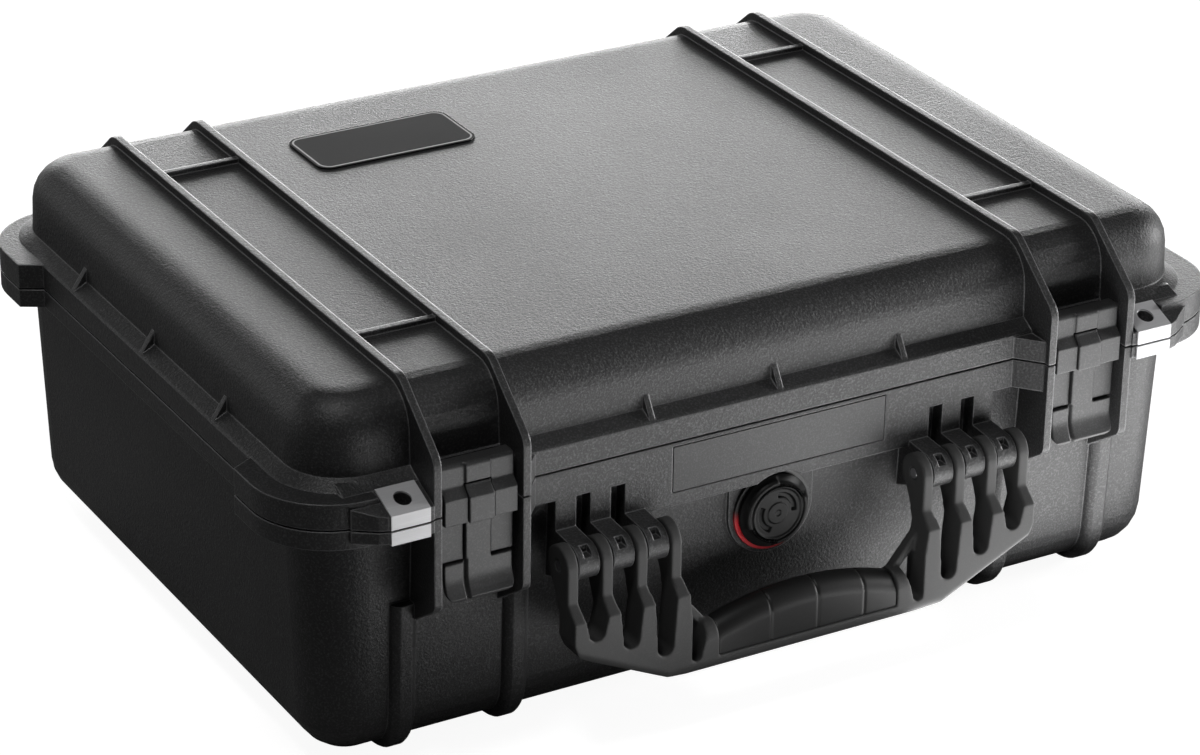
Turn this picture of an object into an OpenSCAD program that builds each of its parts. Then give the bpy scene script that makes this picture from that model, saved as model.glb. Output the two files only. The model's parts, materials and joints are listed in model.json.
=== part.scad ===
/* [Case body] */
// Width over the side walls at the parting line
case_w = 465.6; // [456:0.2:475]
// Depth over the front and back walls at the parting line
case_d = 330; // [324:0.5:336]
// How far the middle of the walls lies behind the origin
case_back = 2; // [0:0.2:4]
// Plan radius of the four wall corners
corner_r = 28; // [26:0.5:32]
// Wall thickness of both shells
wall = 4.5; // [3.8:0.1:5]
// Slope of the moulded walls from the vertical, in degrees
draft = 2.2; // [1:0.1:3]
// Height of the base's underside above the ground
floor_z = 4.5; // [4:0.1:5]
// Height of the parting line
parting_z = 133.4; // [130:0.2:137]
// Open gap between the two rims
parting_gap = 1; // [0.6:0.1:1.4]
// Height of the flat top of the lid
lid_top_z = 184; // [181:0.5:187]
// Radius between the base's walls and its underside
base_edge_r = 23; // [18:0.5:25]
// Radius of the lid's shoulders
lid_edge_r = 18.6; // [15:0.2:21]

/* [Rim] */
// How far the rims stand out of the walls
rim_w = 6.8; // [6:0.1:7.6]
// Height of the lid rim's upright face
lid_rim_h = 12.6; // [11:0.2:14]
// Height of the slope from the lid rim up to the wall
lid_rim_slope = 3.5; // [2.5:0.1:4.5]
// Height of the base rim's upright face
base_rim_h = 9; // [8:0.2:10]
// How far the corner bumpers stand out of the side rims
bumper_w = 10.4; // [8:0.2:12]
// How far the corner bumpers stand out of the front rim
bumper_front = 7; // [6:0.2:8]
// How far the corner bumpers stand out of the back rim
bumper_rear = 1; // [0.5:0.1:3]
// Plan radius of the corner bumpers
bumper_r = 38; // [35:0.5:42]
// Length of a corner bumper along the side wall
bumper_len = 54; // [50:1:60]
// Width of the seal's groove in the lid rim
groove_w = 4.6; // [4:0.1:5]
// Depth of the seal's groove in the lid rim
groove_h = 3.6; // [3.2:0.1:4]
// Height of the ridge on the base rim that meets the seal
ridge_h = 2.6; // [2.2:0.1:3]
// Thickness of the seal
seal_h = 1.8; // [1.5:0.1:1.9]

/* [Ribs and wings] */
// Distance from each side wall to the outer rib beside it
rib_side = 50; // [48:0.2:52]
// Distance from each outer rib to its inner rib
rib_pitch = 43.7; // [42:0.1:45]
// Thickness of the ribs and of the wings that they end in
rib_w = 3.8; // [3:0.1:4.4]
// Height of the ribs over the lid's top
rib_h = 4; // [3:0.1:4.5]
// How far the front wings stand out of the wall
wing_front = 21.5; // [20:0.2:22.5]
// How far the back wings stand out of the wall
wing_rear = 20.3; // [19:0.2:21]
// Height over which a lid wing is upright
wing_rise = 24; // [21:0.5:26]
// Slope of the ribs from the lid's shoulder to the wing, in degrees
rib_slope = 39; // [36:0.5:42]
// Height of the foot of a base wing's upright edge
wing_foot_z = 88; // [84:0.5:92]
// Slope of the foot of a base wing, in degrees
wing_foot_slope = 34; // [25:1:40]
// Distance from the front wall to the front cross ribs
cross_front = 62; // [55:1:68]
// Distance from the back wall to the back cross ribs
cross_rear = 63; // [55:1:70]
// How far the inner foot runners lie inwards of the inner ribs
runner_in = 7.2; // [6:0.1:9]
// How far the outer foot runners lie outwards of the outer ribs
runner_out = 5.7; // [4:0.1:8]
// Width of a foot runner where it meets the base
runner_w = 13; // [11:0.2:14]
// Height of the upper end of a foot runner
runner_top_z = 84; // [76:1:92]
// Height of the small gussets above the lid rim
gusset_h = 6.5; // [5:0.2:8]
// Thickness of the small gussets
gusset_w = 3; // [2:0.1:4]
// Spacing of the gussets along the front and back
gusset_pitch_x = 67; // [62:1:69]
// Spacing of the gussets along the sides
gusset_pitch_y = 78; // [74:1:82]

/* [Front band] */
// Height of the lower edge of the front band
band_z = 101.5; // [98:0.5:104]
// Height of the cut-outs of the band over the handle's arms
band_slot_z = 119; // [116:0.5:121]
// Width of the bare name panel
panel_w = 113.6; // [108:0.2:118]
// Height of the bare name panel
panel_h = 23.4; // [21:0.2:25]
// Thickness of the name panel
panel_t = 1; // [0.8:0.1:1.4]
// Gap round the name panel
panel_gap = 0.5; // [0.3:0.1:0.8]

/* [Handle] */
// Distance of the handle's axis in front of the front wall
handle_out = 20.2; // [19:0.2:21]
// Height of the handle's axis
handle_z = 94.7; // [93:0.2:96]
// Distance from the middle to the innermost arm
arm_in_x = 67.2; // [66:0.2:69]
// Spacing of the four arms on each side
arm_pitch = 17.7; // [17:0.1:18.4]
// Thickness of an arm at its upper end
arm_w = 5.5; // [5:0.1:6]
// Radius of the arms' upper ends
arm_r = 9.5; // [9.2:0.1:10]
// Radius of the knuckles on the base
knuckle_r = 8.5; // [8:0.1:8.8]
// Side clearance between an arm and a knuckle
arm_gap = 0.9; // [0.6:0.1:1.2]
// Radius of the handle's pins
handle_pin_r = 2.5; // [2:0.1:3]
// Height of the lower edge of the handle
handle_low_z = 28.3; // [27:0.1:30]
// How far the lower part stands in front of the arms
handle_step = 7; // [6:0.2:8]
// Thickness of the lower part, front to back
handle_t = 15; // [13:0.5:16]
// Width of the slots between the arms
handle_slot_w = 8.2; // [7.4:0.1:8.6]
// Rise of the slots' lower ends from one slot to the next
handle_slot_rise = 8.5; // [7.5:0.1:9]
// Half the length of the rubber grip
grip_half = 48; // [45:0.5:50]
// Height of the grip's lower edge
grip_z = 37; // [36:0.1:38]
// Height of the grip at its middle
grip_h = 23; // [21:0.5:24]
// How much higher the grip is at its middle than at its ends
grip_crown = 8; // [6:0.5:9]
// Spacing of the three grooves round the grip
grip_groove_pitch = 25.2; // [22:0.2:26]
// Place of the middle groove round the grip
grip_groove_x = 5; // [0:0.5:8]
// Width of the grooves round the grip
grip_groove_w = 1.2; // [0.8:0.1:1.6]
// Width of the collar at each end of the grip, at its top
collar_w = 3.6; // [3:0.1:4.4]

/* [Latches] */
// Width of a latch
latch_w = 35.8; // [34:0.2:36.6]
// Distance of the latch's axis in front of the front wall
latch_out = 10.2; // [9.6:0.1:10.6]
// Height of the latch's axis above the parting line
latch_up = 14.6; // [14:0.1:15.4]
// Height of a latch above its axis
latch_top = 6.6; // [6:0.1:6.8]
// Depth of a latch's front face ahead of its axis
latch_face = 6.2; // [5.8:0.1:6.4]
// Radius of the latch's top front edge
latch_edge_r = 2; // [1.6:0.1:2.6]
// Height of the foot of the latch's side plates
latch_foot_z = 107.2; // [104:0.2:110]
// Height of the lower edge of the raised band
latch_band_z = 127; // [126:0.2:128]
// Height of the raised band
latch_band_h = 12.5; // [11:0.2:13]
// How far the raised band stands out of the face
latch_band_out = 3.8; // [3:0.1:4.6]
// Width of the lever's middle strip
strip_w = 12.4; // [11.6:0.2:13.2]
// How far the strip stands out of the latch's face
strip_out = 1; // [0.8:0.1:1.4]
// Height of the lower end of the lever
lever_foot_z = 89; // [87:0.2:91]
// How far the lever's tab flares out
lever_flare = 3.6; // [3:0.1:4.4]
// Thickness of the latch's plates
latch_t = 3; // [2.6:0.1:3.2]
// Gap between the hooks and the rim they hold
latch_gap = 0.3; // [0.2:0.05:0.5]
// Radius of the latch's pins
latch_pin_r = 1.8; // [1.5:0.1:2]

/* [Hinges] */
// Distance of the hinge's axis behind the back wall
hinge_out = 23.2; // [22.8:0.1:24]
// Radius of the hinge's knuckles
hinge_r = 9.4; // [9:0.1:9.6]
// Radius of the hinge's pins
hinge_pin_r = 2.5; // [2:0.1:3]
// Gap between neighbouring knuckles
hinge_gap = 0.4; // [0.3:0.1:0.6]

/* [Padlock ears] */
// Distance from each outer rib to the padlock hole beside it
lock_side = 13.7; // [12.7:0.1:14.7]
// Distance of the padlock holes in front of the front wall
lock_out = 14.9; // [14:0.1:15.5]
// Radius of the padlock holes
lock_r = 4; // [3.6:0.1:4.2]
// Width of the steel padlock plates
lock_plate_w = 19; // [18:0.2:19.6]
// Thickness of the steel padlock plates
lock_plate_t = 0.8; // [0.6:0.1:1]
// Height of the lid's ear at its front edge
ear_h = 6.4; // [6:0.1:7]
// Slope of the ear's top, in degrees
ear_slope = 21; // [18:0.5:23]
// Depth of the base's ear under its rim
ear_base_h = 5.6; // [5:0.1:6.2]

/* [Pressure valve] */
// Height of the valve's axis
valve_z = 84; // [82:0.5:86]
// Radius of the boss that the valve sits on
valve_boss_r = 22.5; // [21:0.5:24]
// How far the boss stands out of the wall
valve_boss_out = 2.2; // [1.6:0.1:3]
// Radius of the red ring behind the knob
valve_ring_r = 20.2; // [19:0.1:20.8]
// Thickness of the red ring
valve_ring_t = 1.6; // [1.2:0.1:2]
// Radius of the knob at its foot
valve_knob_r = 18.4; // [17:0.1:18.8]
// Radius of the knob's face
valve_face_r = 13; // [11:0.1:14]
// Radius of the valve's threaded stem
valve_stem_r = 7; // [6:0.1:8]
// Length of the knob
valve_knob_l = 5; // [4.6:0.1:6]

/* [Label and foam] */
// Width of the bare label on the lid
label_w = 86; // [80:1:92]
// Depth of the bare label on the lid
label_d = 42; // [38:1:46]
// Distance from the left inner rib to the label's middle
label_side = 72.1; // [65:0.1:80]
// Distance from the back wall to the label's middle
label_back = 72; // [66:1:82]
// Thickness of the label
label_t = 0.8; // [0.6:0.1:1]
// Gap between the foam and the walls
foam_gap = 0.5; // [0.3:0.1:1]
// Thickness of the foam pad on the base's floor
foam_pad_h = 20; // [15:1:25]
// Distance from the side walls to the laptop pocket in the foam
pocket_side = 42.8; // [34:0.2:56]
// Distance from the front and back walls to the laptop pocket
pocket_end = 37; // [33:0.5:45]
// Thickness of the foam in the lid
foam_lid_h = 34; // [28:1:38]

/* [Hidden] */
$fn = 64;
arc_steps = 6;
eps = 0.01;
pin_clearance = 0.05;
front_y = case_back - case_d / 2;
rear_y = case_back + case_d / 2;
lean = tan(draft);
base_top_z = parting_z - parting_gap / 2;
lid_low_z = parting_z + parting_gap / 2;
band_y = front_y - rim_w;
embed = 2;

// Radii that stay inside the plan radius of the corners
base_r = min(base_edge_r, corner_r - (parting_z - floor_z) * lean - 0.5);
lid_r = min(lid_edge_r, corner_r - (lid_top_z - parting_z) * lean - 0.5);

rib_out_x = case_w / 2 - rib_side;
rib_in_x = rib_out_x - rib_pitch;
rib_xs = [-rib_out_x, -rib_in_x, rib_in_x, rib_out_x];
runner_in_x = rib_in_x - runner_in;
runner_out_x = rib_out_x + runner_out;
pair_x = (rib_in_x + rib_out_x) / 2;
pair_room = rib_out_x - rib_in_x - rib_w;
wing_front_y = front_y - wing_front;
wing_rear_y = rear_y + wing_rear;
rib_top_z = lid_top_z + rib_h;
seal_u = 0.8;

handle_y = front_y - handle_out;
arm_xs = [for (i = [0 : 3]) arm_in_x + i * arm_pitch];
knuckle_xs = [for (i = [0 : 2]) arm_in_x + (i + 0.5) * arm_pitch];
knuckle_w = arm_pitch - arm_w - 2 * arm_gap;
slab_y = handle_y - arm_r - handle_step;
crease_z = handle_z - 15.9;
slab_top_z = crease_z - 6.6;

latch_y = front_y - latch_out;
latch_z = parting_z + latch_up;
latch_face_y = latch_y - latch_face;
lever_y = latch_face_y + 1.7;
lever_z = latch_band_z + 0.6 * latch_band_h;
strip_top_z = lever_z + 9.7;
pocket_low_z = base_top_z - 5.6;
pocket_top_z = lid_low_z + 5.1;

hinge_y = rear_y + hinge_out;
hinge_span = pair_room - 2;
hinge_knuckle_w = (hinge_span - 4 * hinge_gap) / 5;

lock_x = rib_out_x + lock_side;
ear_out_y = wing_front_y - 0.7;
ear_end_x = lock_x + lock_plate_w / 2;
lock_y = front_y - lock_out;
ear_run = 15;

valve_wall_y = front_y + (parting_z - valve_z) * lean;
valve_boss_y = valve_wall_y - valve_boss_out;
knob_y = valve_boss_y - valve_ring_t - 0.3;
stem_back = 5.2;
stem_front_y = knob_y - 2.2;
ring_room = 0.8;

label_x = label_side - rib_in_x;
label_y = rear_y - label_back;
pocket_w = case_w - 2 * pocket_side;
pocket_d = case_d - 2 * pocket_end;

// ---------- helpers ----------

// Points on an arc from angle a0 to angle a1 round the centre c
function arc(c, r, a0, a1) = [
    for (i = [0 : arc_steps])
        let (a = a0 + (a1 - a0) * i / arc_steps)
            c + r * [cos(a), sin(a)]];

// How far the sloping walls have drawn in at height z, below or above the parting line
function wall_in(z) = abs(z - parting_z) * lean;

// Distance from the walls at the parting line to the centre of an edge's arc, at height z, that
// touches the sloping wall
function edge_in(z, r) = (abs(z - parting_z) + r * sin(draft)) * lean + r * cos(draft);

// Sweeps an outline round the case's rounded rectangle. In the outline, x is the distance
// outwards from the walls' outer face at the parting line and y is the height.
module round_case() {
    for (sx = [0, 1], sy = [0, 1])
        translate([0, case_back, 0])
            mirror([sx, 0, 0])
                mirror([0, sy, 0])
                    translate([case_w / 2 - corner_r, case_d / 2 - corner_r, 0])
                        rotate_extrude(angle = 90)
                            translate([corner_r, 0])
                                children();
    for (s = [0, 1])
        translate([0, case_back, 0])
            mirror([s, 0, 0])
                translate([case_w / 2, 0, 0])
                    rotate([90, 0, 0])
                        linear_extrude(case_d - 2 * corner_r, center = true)
                            children();
    for (s = [0, 1])
        translate([0, case_back, 0])
            mirror([0, s, 0])
                translate([0, case_d / 2, 0])
                    rotate([90, 0, 90])
                        linear_extrude(case_w - 2 * corner_r, center = true)
                            children();
}

// The slab that closes the middle of a shell between the corner centres
module middle_slab(z, h) {
    translate([-case_w / 2 + corner_r, front_y + corner_r, z])
        cube([case_w - 2 * corner_r, case_d - 2 * corner_r, h]);
}

// A rounded rectangle that stands off the walls by u, centred on the case
module plan_outline(u) {
    r = max(corner_r + u, 1);
    w = case_w / 2 + u - r;
    d = case_d / 2 + u - r;
    translate([0, case_back]) {
        square([2 * w + 2 * r, 2 * d], center = true);
        square([2 * w, 2 * d + 2 * r], center = true);
        for (sx = [-1, 1], sy = [-1, 1])
            translate([sx * w, sy * d])
                circle(r);
    }
}

// Extrudes an outline drawn in y and z along x, centred on x
module slice(x, w) {
    translate([x - w / 2, 0, 0])
        rotate([90, 0, 90])
            linear_extrude(w)
                children();
}

// A cylinder along x, centred on x
module rod(x, y, z, r, l) {
    translate([x - l / 2, y, z])
        rotate([0, 90, 0])
            cylinder(r = r, h = l);
}

// A cylinder that runs forwards from y
module front_disc(y, z, r, l) {
    translate([0, y, z])
        rotate([90, 0, 0])
            cylinder(r = r, h = l);
}

module both_sides() {
    children();
    mirror([1, 0, 0])
        children();
}

// ---------- outlines of the shells ----------

// The base's wall and floor, up to the rim
module base_section() {
    c = [-edge_in(floor_z + base_r, base_r), floor_z + base_r];
    rim_low_z = base_top_z - base_rim_h;
    polygon(concat(
        [[rim_w, base_top_z], [rim_w, rim_low_z], [-wall_in(rim_low_z - 2), rim_low_z - 2]],
        arc(c, base_r, -draft, -90),
        [[-corner_r, floor_z], [-corner_r, floor_z + wall]],
        arc(c, max(base_r - wall, 1), -90, -draft),
        [[-wall / cos(draft), base_top_z]]));
}

// The lid's wall and top, down to the rim
module lid_section() {
    c = [-edge_in(lid_top_z - lid_r, lid_r), lid_top_z - lid_r];
    rim_top_z = lid_low_z + lid_rim_h;
    polygon(concat(
        [[-wall / cos(draft), lid_low_z], [rim_w, lid_low_z], [rim_w, rim_top_z - 1],
        [rim_w - 1, rim_top_z]],
        [[-wall_in(rim_top_z + lid_rim_slope), rim_top_z + lid_rim_slope]],
        arc(c, lid_r, draft, 90),
        [[-corner_r, lid_top_z], [-corner_r, lid_top_z - wall]],
        arc(c, max(lid_r - wall, 1), 90, draft)));
}

// A ring that follows the rim, w wide, centred u outside the walls
module seal_ring(z, w, h) {
    translate([0, 0, z])
        linear_extrude(h)
            difference() {
                plan_outline(seal_u + w / 2);
                plan_outline(seal_u - w / 2);
            }
}

// Plan of the four corner bumpers
module bumper_plan() {
    w = case_w / 2 + rim_w + bumper_w;
    y0 = front_y - rim_w - bumper_front;
    y1 = rear_y + rim_w + bumper_rear;
    intersection() {
        union() {
            translate([-w, y0 + bumper_r])
                square([2 * w, y1 - y0 - 2 * bumper_r]);
            translate([-w + bumper_r, y0])
                square([2 * w - 2 * bumper_r, y1 - y0]);
            for (sx = [-1, 1], y = [y0 + bumper_r, y1 - bumper_r])
                translate([sx * (w - bumper_r), y])
                    circle(bumper_r);
        }
        difference() {
            for (sx = [0, 1])
                mirror([sx, 0])
                    polygon([
                        [ear_end_x + 1, y0 - 1], [w + 1, y0 - 1], [w + 1, y0 + bumper_len],
                        [w - bumper_w - 1, y0 + bumper_len + 7],
                        [w - bumper_w - 1, y1 - bumper_len - 7],
                        [w + 1, y1 - bumper_len], [w + 1, y1 + 1],
                        [rib_out_x, y1 + 1], [rib_out_x, case_back],
                        [ear_end_x + 1, case_back]]);
            plan_outline(-wall / 2);
        }
    }
}

// Plan of the right padlock ear, from the outer wing to the bumper, ahead of the rim
module ear_plan() {
    bumper_y = band_y - bumper_front;
    polygon([
        [rib_out_x + rib_w / 2, band_y], [rib_out_x + rib_w / 2, ear_out_y],
        [ear_end_x + 1, ear_out_y], [ear_end_x + 5, ear_out_y + 1.5],
        [ear_end_x + ear_run, bumper_y], [ear_end_x + 1, bumper_y], [ear_end_x + 1, band_y]]);
}

// Plan of the ear's back part, which rises over the rim
module ear_back_plan() {
    translate([rib_out_x, band_y])
        square([ear_end_x + ear_run - rib_out_x, rim_w + 2]);
}

// Outline of a lid rib and the wings it ends in, in y and z
module lid_rib_outline() {
    bend_r = 12;
    foot_r = 9;
    // Where the slope meets the wing's upright edge and the rib's top
    knee_z = lid_low_z + wing_rise + 3;
    run = (rib_top_z - knee_z) / tan(rib_slope);
    top_front = wing_front_y + run;
    top_rear = wing_rear_y - run;
    cut_top = bend_r * tan(rib_slope / 2);
    cut_foot = foot_r * tan((90 - rib_slope) / 2);
    polygon(concat(
        [[wing_front_y, lid_low_z]],
        arc([wing_front_y + foot_r, knee_z - cut_foot], foot_r, 180, 90 + rib_slope),
        arc([top_front + cut_top, rib_top_z - bend_r], bend_r, 90 + rib_slope, 90),
        arc([top_rear - cut_top, rib_top_z - bend_r], bend_r, 90, 90 - rib_slope),
        arc([wing_rear_y - foot_r, knee_z - cut_foot], foot_r, 90 - rib_slope, 0),
        [[wing_rear_y, lid_low_z]]));
}

// The space inside the lid's walls, less half the wall, in y and z
module lid_inside_outline() {
    c = edge_in(lid_top_z - lid_r, lid_r);
    r = lid_r - wall / 2;
    z0 = lid_top_z - lid_r;
    polygon(concat(
        [[front_y + wall / 2, lid_low_z - 1]],
        arc([front_y + c, z0], r, 180 - draft, 90),
        arc([rear_y - c, z0], r, 90, draft),
        [[rear_y - wall / 2, lid_low_z - 1]]));
}

// Outline of one base wing, standing out by reach from the wall at y = 0
module base_wing_outline(reach) {
    foot_r = 6;
    bend = 90 - wing_foot_slope;
    cut = foot_r * tan(bend / 2);
    depth = reach + embed + wall_in(wing_foot_z);
    polygon(concat(
        [[embed, base_top_z], [-reach, base_top_z]],
        arc([-reach + foot_r, wing_foot_z + cut], foot_r, 180, 180 + bend),
        [[-reach + depth, wing_foot_z - depth * tan(wing_foot_slope)]]));
}

// Section of a foot runner: a low round bead with a narrow flat, sunk into the wall
module runner_section() {
    h = floor_z + 0.6;
    r = (runner_w * runner_w / 4 + h * h) / (2 * h);
    intersection() {
        translate([0, h - r])
            circle(r);
        translate([-runner_w, -embed])
            square([2 * runner_w, embed + floor_z]);
    }
}

// One foot runner: down the front wall, round the edge, under the base and up the back wall
module foot_runner(x) {
    edge_z = floor_z + base_r;
    edge_y = case_d / 2 - edge_in(edge_z, base_r);
    rise = (runner_top_z - edge_z) / cos(draft);
    for (s = [0, 1])
        translate([x, case_back, 0])
            mirror([0, s, 0])
                translate([0, -edge_y, edge_z]) {
                    rotate([draft, 0, 0])
                        translate([0, -base_r, 0])
                            rotate([0, 0, 180])
                                linear_extrude(rise)
                                    runner_section();
                    rotate([-90, 0, -90])
                        rotate([0, 0, draft])
                            rotate_extrude(angle = 90 - draft)
                                translate([base_r, 0])
                                    rotate([0, 0, -90])
                                        runner_section();
                }
    translate([x, case_back, floor_z])
        rotate([90, 180, 0])
            linear_extrude(2 * edge_y, center = true)
                runner_section();
}

// ---------- base ----------

// Web that carries one hinge knuckle, from the wall to the axis
module hinge_arm(x, z0, z1) {
    translate([x - hinge_knuckle_w / 2, rear_y - wall / 2, z0])
        cube([hinge_knuckle_w, hinge_out + wall / 2, z1 - z0]);
}

function hinge_x(i) = pair_x + (i - 2) * (hinge_knuckle_w + hinge_gap);

// A knuckle on the front band that carries the handle, with the stop notch on its top
module handle_knuckle(x) {
    notch = 4;
    difference() {
        union() {
            rod(x, handle_y, handle_z, knuckle_r, knuckle_w);
            slice(x, knuckle_w)
                polygon([
                    [front_y + embed, band_slot_z + 2], [band_y, band_slot_z + 2],
                    [band_y, handle_z + knuckle_r + 0.8],
                    [handle_y, handle_z + knuckle_r], [handle_y, handle_z - knuckle_r],
                    [front_y + embed + 1, handle_z - knuckle_r - 9]]);
        }
        translate([x - notch / 2, handle_y - knuckle_r + 0.6, handle_z + knuckle_r - 4])
            cube([notch, 6, 6]);
    }
}

module front_band() {
    slice(0, 2 * rib_in_x)
        polygon([
            [front_y + embed, base_top_z], [band_y, base_top_z],
            [band_y, band_slot_z], [front_y + embed, band_slot_z]]);
    slice(0, 2 * (knuckle_xs[0] + knuckle_w / 2))
        polygon([
            [front_y + embed, base_top_z], [band_y, base_top_z],
            [band_y, band_z], [front_y + embed, band_z - 1.5]]);
    both_sides()
        for (i = [0 : 2])
            handle_knuckle(knuckle_xs[i]);
}

// Plan fillets where the rims run out to the inner wings
module wing_fillets(z0, z1) {
    reach = 12;
    both_sides()
        translate([0, 0, z0])
            linear_extrude(z1 - z0)
                polygon([
                    [rib_in_x, front_y], [rib_in_x - reach, front_y], [rib_in_x - reach, band_y],
                    [rib_in_x, wing_front_y + 1]]);
}

module base_wings() {
    both_sides()
        for (x = [rib_in_x, rib_out_x]) {
            translate([0, front_y, 0])
                slice(x, rib_w)
                    base_wing_outline(wing_front);
            translate([0, rear_y, 0])
                mirror([0, 1, 0])
                    slice(x, rib_w)
                        base_wing_outline(wing_rear);
        }
}

module valve_boss() {
    translate([0, valve_boss_y, 0])
        rotate([-90, 0, 0])
            linear_extrude(valve_boss_out + embed) {
                translate([0, -valve_z])
                    circle(valve_boss_r);
                translate([-valve_boss_r, -band_z - 1])
                    square([2 * valve_boss_r, band_z + 1 - valve_z]);
            }
}

module base_body() {
    round_case()
        base_section();
    middle_slab(floor_z, wall);
    translate([0, 0, base_top_z - base_rim_h])
        linear_extrude(base_rim_h)
            bumper_plan();
    for (x = [-runner_out_x, -runner_in_x, runner_in_x, runner_out_x])
        foot_runner(x);
    base_wings();
    wing_fillets(band_slot_z, base_top_z);
    front_band();
    valve_boss();
    both_sides()
        for (i = [0 : 2 : 4]) {
            rod(hinge_x(i), hinge_y, parting_z, hinge_r, hinge_knuckle_w);
            hinge_arm(hinge_x(i), parting_z - hinge_r, base_top_z);
        }
}

module base_shell() {
    color([0.09, 0.09, 0.095])
        difference() {
            union() {
                difference() {
                    base_body();
                    // Room for each latch's hook under the rim
                    both_sides()
                        translate([pair_x - pair_room / 2, wing_front_y - 1, latch_foot_z - 30])
                            cube([pair_room, wing_front + 1, pocket_low_z - latch_foot_z + 30]);
                }
                seal_ring(base_top_z - 1, groove_w - 1.4, ridge_h + 1);
            }
            both_sides() {
                rod(pair_x, hinge_y, parting_z, hinge_pin_r, pair_room);
                rod(knuckle_xs[1], handle_y, handle_z, handle_pin_r, 4 * arm_pitch);
            }
            front_disc(valve_wall_y + 2 * wall, valve_z, valve_stem_r, 3 * wall);
            // The band is scooped out over the valve's ring
            front_disc(valve_boss_y, valve_z, valve_ring_r + ring_room, 2 * rim_w);
            translate([-panel_w / 2, band_y, base_top_z - 1.6 - panel_h])
                cube([panel_w, panel_t, panel_h]);
        }
}

module name_panel() {
    color([0.12, 0.12, 0.125])
        translate([-panel_w / 2 + panel_gap, band_y, base_top_z - 1.6 - panel_h + panel_gap])
            cube([panel_w - 2 * panel_gap, panel_t, panel_h - 2 * panel_gap]);
}

// ---------- lid ----------

module lid_ribs() {
    difference() {
        for (x = rib_xs)
            slice(x, rib_w)
                lid_rib_outline();
        slice(0, case_w)
            lid_inside_outline();
    }
    for (x = [-pair_x, pair_x], y = [front_y + cross_front, rear_y - cross_rear])
        translate([x - pair_room / 2, y - 1.6, lid_top_z - 1])
            cube([pair_room, 3.2, rib_h - 0.6]);
}

// Small gusset on the rim's slope, drawn against a wall at y = 0 that faces forwards
module gusset() {
    z0 = lid_low_z + lid_rim_h;
    slice(0, gusset_w)
        polygon([
            [-rim_w + 1, z0 - 1], [-rim_w + 1, z0], [wall_in(z0) + 0.2, z0 + lid_rim_slope + gusset_h],
            [wall / 2, z0 + lid_rim_slope + gusset_h], [wall / 2, z0 - 1]]);
}

module lid_gussets() {
    for (i = [-1 : 1]) {
        translate([i * gusset_pitch_x, front_y, 0])
            gusset();
        translate([i * gusset_pitch_x, rear_y, 0])
            rotate([0, 0, 180])
                gusset();
        for (s = [-1, 1])
            translate([s * case_w / 2, case_back + i * gusset_pitch_y, 0])
                rotate([0, 0, s * 90])
                    gusset();
    }
}

// What stands on a plan under the slope that rises from the lid's ear to the wall
module under_ear_slope() {
    rise = (front_y - ear_out_y) * tan(ear_slope);
    intersection() {
        translate([0, 0, lid_low_z])
            linear_extrude(lid_rim_h + 4)
                children();
        slice(lock_x, 100)
            polygon([
                [front_y + 3, lid_low_z], [ear_out_y - 1, lid_low_z],
                [ear_out_y - 1, lid_low_z + ear_h - tan(ear_slope)],
                [front_y, lid_low_z + ear_h + rise], [front_y + 3, lid_low_z + ear_h + rise]]);
    }
}

module lid_body() {
    round_case()
        lid_section();
    middle_slab(lid_top_z - wall, wall);
    translate([0, 0, lid_low_z])
        linear_extrude(lid_rim_h - 0.5)
            bumper_plan();
    both_sides()
        under_ear_slope()
            ear_back_plan();
    wing_fillets(lid_low_z, lid_low_z + lid_rim_h - 2);
    lid_gussets();
    both_sides()
        for (i = [1 : 2 : 3]) {
            rod(hinge_x(i), hinge_y, parting_z, hinge_r, hinge_knuckle_w);
            hinge_arm(hinge_x(i), lid_low_z, parting_z + hinge_r);
        }
}

module lid_shell() {
    color([0.1, 0.1, 0.105])
        difference() {
            union() {
                difference() {
                    lid_body();
                    // The latch swings in front of a low rim
                    both_sides()
                        translate([pair_x - pair_room / 2, wing_front_y - 1, pocket_top_z])
                            cube([pair_room, wing_front + 1, lid_rim_h]);
                }
                lid_ribs();
            }
            seal_ring(lid_low_z - 1, groove_w, groove_h + 1);
            both_sides() {
                rod(pair_x, hinge_y, parting_z, hinge_pin_r + pin_clearance, pair_room);
                rod(pair_x, latch_y, latch_z, latch_pin_r, pair_room + rib_w);
            }
        }
}

module lid_seal() {
    color([0.03, 0.03, 0.03])
        seal_ring(lid_low_z + groove_h - seal_h, groove_w - 0.6, seal_h);
}

module lid_label() {
    r = 7;
    color([0.02, 0.02, 0.02])
        translate([label_x, label_y, lid_top_z])
            linear_extrude(label_t) {
                square([label_w, label_d - 2 * r], center = true);
                square([label_w - 2 * r, label_d], center = true);
                for (sx = [-1, 1], sy = [-1, 1])
                    translate([sx * (label_w / 2 - r), sy * (label_d / 2 - r)])
                        circle(r);
            }
}

// ---------- padlock ears and plates ----------

// The lid's padlock ear: a block set between the wing and the bumper
module lid_ear() {
    color([0.1, 0.1, 0.105])
        difference() {
            under_ear_slope()
                ear_plan();
            translate([lock_x, lock_y, lid_low_z - 1])
                cylinder(r = lock_r, h = lid_rim_h + 4);
        }
}

// The base's padlock ear
module base_ear() {
    color([0.09, 0.09, 0.095])
        difference() {
            translate([0, 0, base_top_z - ear_base_h])
                linear_extrude(ear_base_h)
                    ear_plan();
            translate([lock_x, lock_y, base_top_z - ear_base_h - 1])
                cylinder(r = lock_r, h = ear_base_h + 2);
        }
}

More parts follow.
